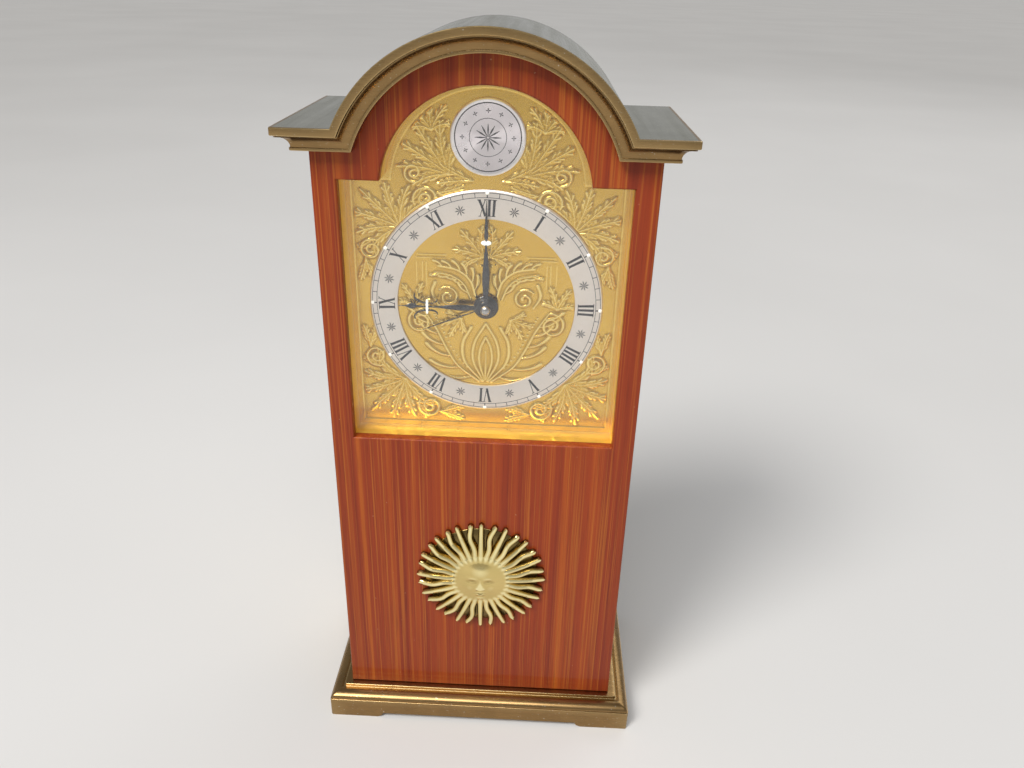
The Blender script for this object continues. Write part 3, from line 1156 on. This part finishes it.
def plates():
    shaft = SET_SHAFT + PIVOT_GAP
    front_holes = pivot_places() + [(CENTRE, CENTRE_ARBOR + PIVOT_GAP), (BALANCE, PIVOT_RADIUS + PIVOT_GAP)]
    front_holes += [(BARREL, WINDING_PIVOT + PIVOT_GAP), (ALARM_BARREL, WINDING_PIVOT + PIVOT_GAP)]
    front_holes += [(SET, shaft), (ALARM_SET, shaft)]
    rear_holes = pivot_places() + [(CENTRE, PIVOT_RADIUS + PIVOT_GAP), (BALANCE, 2 * STAFF_RADIUS)]
    rear_holes += [(BARREL, WINDING_TAIL + 2 * PIVOT_GAP), (ALARM_BARREL, WINDING_TAIL + 2 * PIVOT_GAP)]
    rear_holes += [(SET, shaft), (ALARM_SET, shaft)]
    pillar_holes = [(polar(PILLAR_DISTANCE, angle), PILLAR_SPIGOT + PIVOT_GAP) for angle in PILLAR_ANGLES]
    feet = [(polar(DIAL_FOOT_DISTANCE, angle), DIAL_FOOT_RADIUS + PIVOT_GAP) for angle in DIAL_FOOT_ANGLES]

    holes = [circle(radius, PIN_ROUND, point) for point, radius in front_holes + pillar_holes + feet]
    disc = circle(PLATE_RADIUS, LARGE_ROUND)
    front = plate("front_plate", disc, FRONT_PLATE_D, TRAIN_D, on_dial(CENTRE), holes)
    join(front, rod("minute_stud", STUD_RADIUS, HOUR_WHEEL_D - SEAT_GAP, FRONT_PLATE_D + PLATE_THICK / 2,
                    on_dial(MINUTE), PIN_ROUND))
    finish(front, BRASS)

    holes = [circle(radius, PIN_ROUND, point) for point, radius in rear_holes + pillar_holes]
    rear = plate("rear_plate", disc, REAR_PLATE_D, REAR_FACE_D, on_dial(CENTRE), holes)
    for name, at in (("time_click_stud", BARREL), ("alarm_click_stud", ALARM_BARREL)):
        join(rear, rod(name, PIVOT_RADIUS, REAR_PLATE_D + PLATE_THICK / 2, RATCHET_D + RATCHET_THICK,
                       on_dial(click_pivot(at)), PIN_ROUND))
    finish(rear, BRASS)

    for i, angle in enumerate(PILLAR_ANGLES):
        profile = arbor_profile(TRAIN_D + SEAT_GAP, REAR_PLATE_D - SEAT_GAP, PILLAR_RADIUS, PILLAR_SPIGOT,
                                PILLAR_SPIGOT)
        at = on_dial(polar(PILLAR_DISTANCE, angle))
        finish(turned("pillar_" + str(i + 1), profile, at, PIN_ROUND), BRASS)


# Back controls
def knob(name, at):
    floor = CONTROL_D + KNOB_SOCKET
    bore = SET_SHAFT + PIPE_GAP
    rim = CONTROL_D + KNOB_NECK_LENGTH
    edge = KNOB_RADIUS - KNOB_BEVEL
    profile = [(0.0, floor), (bore, floor), (bore, CONTROL_D), (KNOB_NECK, CONTROL_D), (KNOB_NECK, rim)]
    profile += [(edge, rim), (KNOB_RADIUS, rim + KNOB_BEVEL), (KNOB_RADIUS, KNOB_REAR_D - KNOB_BEVEL)]
    profile += [(edge, KNOB_REAR_D), (0.0, KNOB_REAR_D)]
    finish(turned(name, profile, on_dial(at), MEDIUM_ROUND), BRASS)
    return floor - SEAT_GAP


def set_controls():
    end = knob("set_knob", SET)
    setter = rod("set_arbor", SET_SHAFT, MINUTE_WHEEL_D - 2 * PINION_OVERLAP, end, on_dial(SET), PIN_ROUND)
    join(setter, pinion("set_leaves", CANNON_TEETH, MOTION_MODULE, SET_PHASE, MINUTE_WHEEL_D, SET))
    finish(setter, STEEL)
    end = knob("alarm_knob", ALARM_SET)
    start = ALARM_WHEEL_D - PINION_OVERLAP - SEAT_GAP
    setter = rod("alarm_arbor", SET_SHAFT, start, end, on_dial(ALARM_SET), PIN_ROUND)
    join(setter, pinion("alarm_leaves", SMALL_TEETH, ALARM_DIAL_MODULE, ALARM_SET_PHASE, ALARM_WHEEL_D,
                        ALARM_SET))
    finish(setter, STEEL)


def key(name, at):
    # folding key: a slotted hub on the arbor's tail, and a bow that turns on the hub's pin
    floor = CONTROL_D + KEY_SOCKET + SEAT_GAP
    socket = WINDING_TAIL + PIPE_GAP
    profile = [(0.0, floor), (socket, floor), (socket, CONTROL_D)]
    profile += [(KEY_HUB_RADIUS, CONTROL_D), (KEY_HUB_RADIUS, KEY_REAR_D), (0.0, KEY_REAR_D)]
    hub = turned(name + "_hub", profile, on_dial(at))
    half = KEY_TONGUE / 2 + PIVOT_GAP
    eye_room = KEY_EYE + PIVOT_GAP
    low = (-half, KEY_PIVOT_D - eye_room, -2 * KEY_HUB_RADIUS)
    high = (half, KEY_REAR_D + KEY_EYE, eye_room)
    cut(hub, block(name + "_slot", low, high, on_dial(at)))
    pin = rod(name + "_pin", KEY_PIN, -half - KEY_PIN, half + KEY_PIN, on_dial(at), PIN_ROUND)
    pin.data.transform(Matrix.Translation((0.0, KEY_PIVOT_D, 0.0)) @ Matrix.Rotation(math.pi / 2, 4, 'Z'))
    join(hub, pin)
    finish(hub, BRASS)

    eye = rod(name + "_bow", KEY_EYE, -KEY_TONGUE / 2, KEY_TONGUE / 2, on_dial(at))
    turn = Matrix.Rotation(math.pi / 2, 4, 'Z')
    eye.data.transform(turn)
    neck = math.degrees(math.asin(KEY_NECK / 2 / KEY_BOW_RADIUS))
    ring = arc(KEY_BOW_RADIUS, 90.0 - neck, neck - 270.0, MEDIUM_ROUND, (0.0, -KEY_BOW_REACH))
    outline = [(-KEY_NECK / 2, 0.0), (KEY_NECK / 2, 0.0)] + ring
    hole = circle(KEY_BOW_HOLE, ARBOR_ROUND, (0.0, -KEY_BOW_REACH))
    join(eye, plate(name + "_ring", outline, -KEY_THICK / 2, KEY_THICK / 2, on_dial(at), [hole]))
    drill = rod(name + "_eye_hole", KEY_PIN + PIVOT_GAP, -KEY_TONGUE, KEY_TONGUE, on_dial(at), PIN_ROUND)
    drill.data.transform(turn)
    cut(eye, drill)
    for piece in (eye, *[step.object for step in eye.modifiers]):
        piece.location.y += KEY_PIVOT_D
    finish(eye, BRASS)


def stop_button():
    tip = HAMMER_D + WHEEL_THICK + LAYER_GAP
    profile = [(0.0, tip), (PLUNGER_RADIUS, tip), (PLUNGER_RADIUS, BUTTON_D), (BUTTON_RADIUS, BUTTON_D)]
    profile += [(BUTTON_RADIUS, BUTTON_REAR_D), (0.0, BUTTON_REAR_D)]
    finish(turned("stop_button", profile, on_dial(PLUNGER)), BRASS)


base_plinth()
case_shell()
front_panel()
hood_cornice()
sun_mask()
back_cover()
back_screws()
dial()
hands()
motion_work()
going_train()
power()
pallet_lever()
balance()
balance_cock()
striking()
plates()
set_controls()
key("time_key", BARREL)
key("alarm_key", ALARM_BARREL)
stop_button()
bpy.context.view_layer.update()
